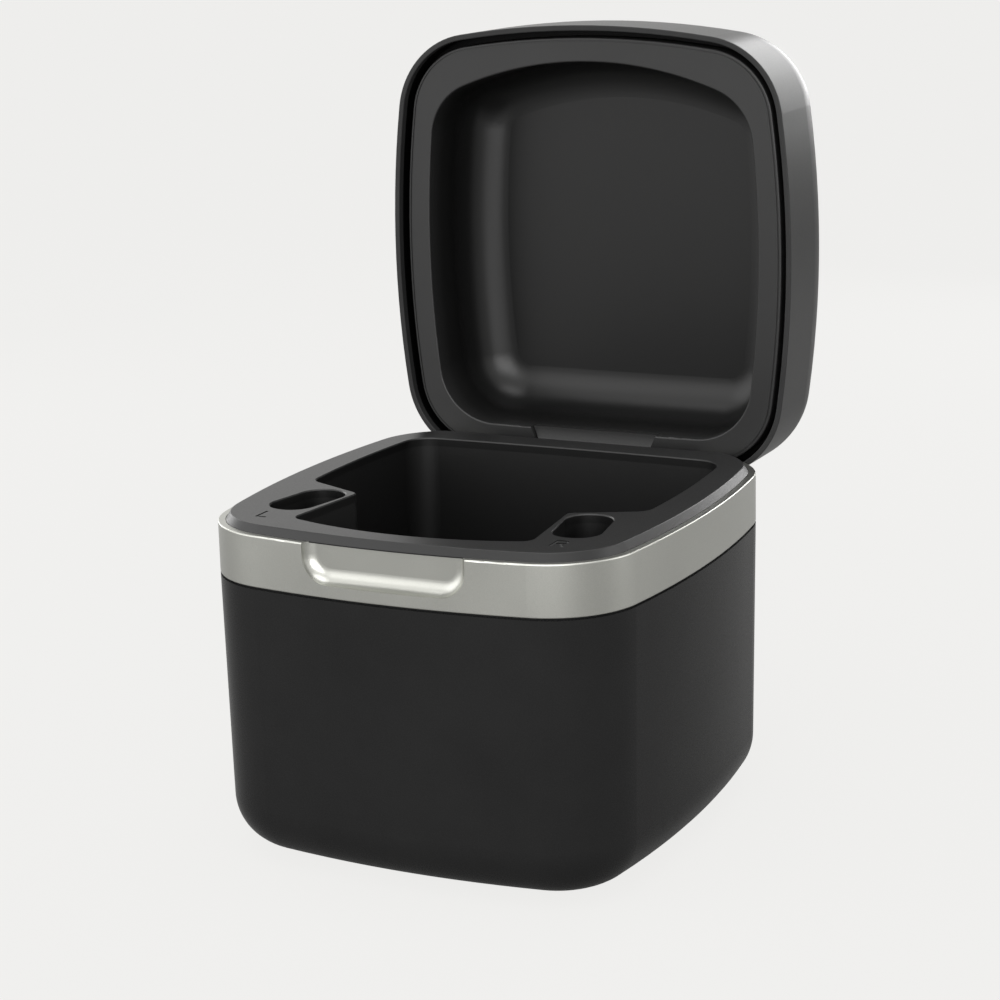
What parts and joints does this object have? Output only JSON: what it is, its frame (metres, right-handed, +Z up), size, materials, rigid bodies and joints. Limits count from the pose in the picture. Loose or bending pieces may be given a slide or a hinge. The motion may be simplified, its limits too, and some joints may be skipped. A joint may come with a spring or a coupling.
{
  "type": "hearing aid charger",
  "caption": "Rounded black charging case with a silver band, two hearing aid wells, a storage bay and a hinged domed lid.",
  "frame": {"origin": "middle of the footprint, on the surface that the foot ring stands on", "axes": "+Z up, -Y towards the front with the finger scoop, +X to the right seen from the front"},
  "size_m": [0.08, 0.1103, 0.1363],
  "materials": {
    "body_black": "satin moulded plastic",
    "lid_graphite": "satin painted plastic",
    "band_metal": "satin warm silver",
    "deck_plastic": "fine satin texture",
    "bin_plastic": "satin",
    "liner_plastic": "satin",
    "hinge_plastic": "satin",
    "rubber": "matte",
    "steel": "plain zinc plated",
    "ferrite": "matte sintered",
    "board": "solder mask",
    "chip": "moulded epoxy",
    "plug_white": "natural nylon",
    "battery_wrap": "shrink film",
    "copper": "enamelled winding",
    "wire": "insulation"
  },
  "bodies": {
    "base": {"base_shell": "body_black", "bottom_cover": "body_black", "rubber_foot": "rubber", "weight_plate": "steel", "cover_screws": "steel", "trim_band": "band_metal", "deck": "deck_plastic", "deck_screws": "steel", "storage_bin": "bin_plastic", "ferrite_pads": "ferrite", "deck_magnets": "steel", "main_board": "board", "usb_socket": "steel", "controller_chip": "chip", "driver_chips": "chip", "lead_plugs": "plug_white", "battery_tray": "body_black", "battery_cell": "battery_wrap", "tray_screws": "steel", "hinge_bracket": "hinge_plastic", "hinge_screws": "steel", "hinge_pin": "steel", "charge_coil_left": "copper", "charge_coil_right": "copper", "coil_lead_left": "wire", "coil_lead_right": "wire"},
    "lid": {"lid_shell": "lid_graphite", "lid_liner": "liner_plastic", "hinge_arm": "hinge_plastic", "arm_screws": "steel", "lid_magnets": "steel"}
  },
  "joints": [
    {"name": "lid_hinge", "type": "hinge", "parent": "base", "child": "lid", "pos_m": [0, 0.03823, 0.05606], "axis": [1, 0, 0], "range_deg": [0, 90]}
  ]
}
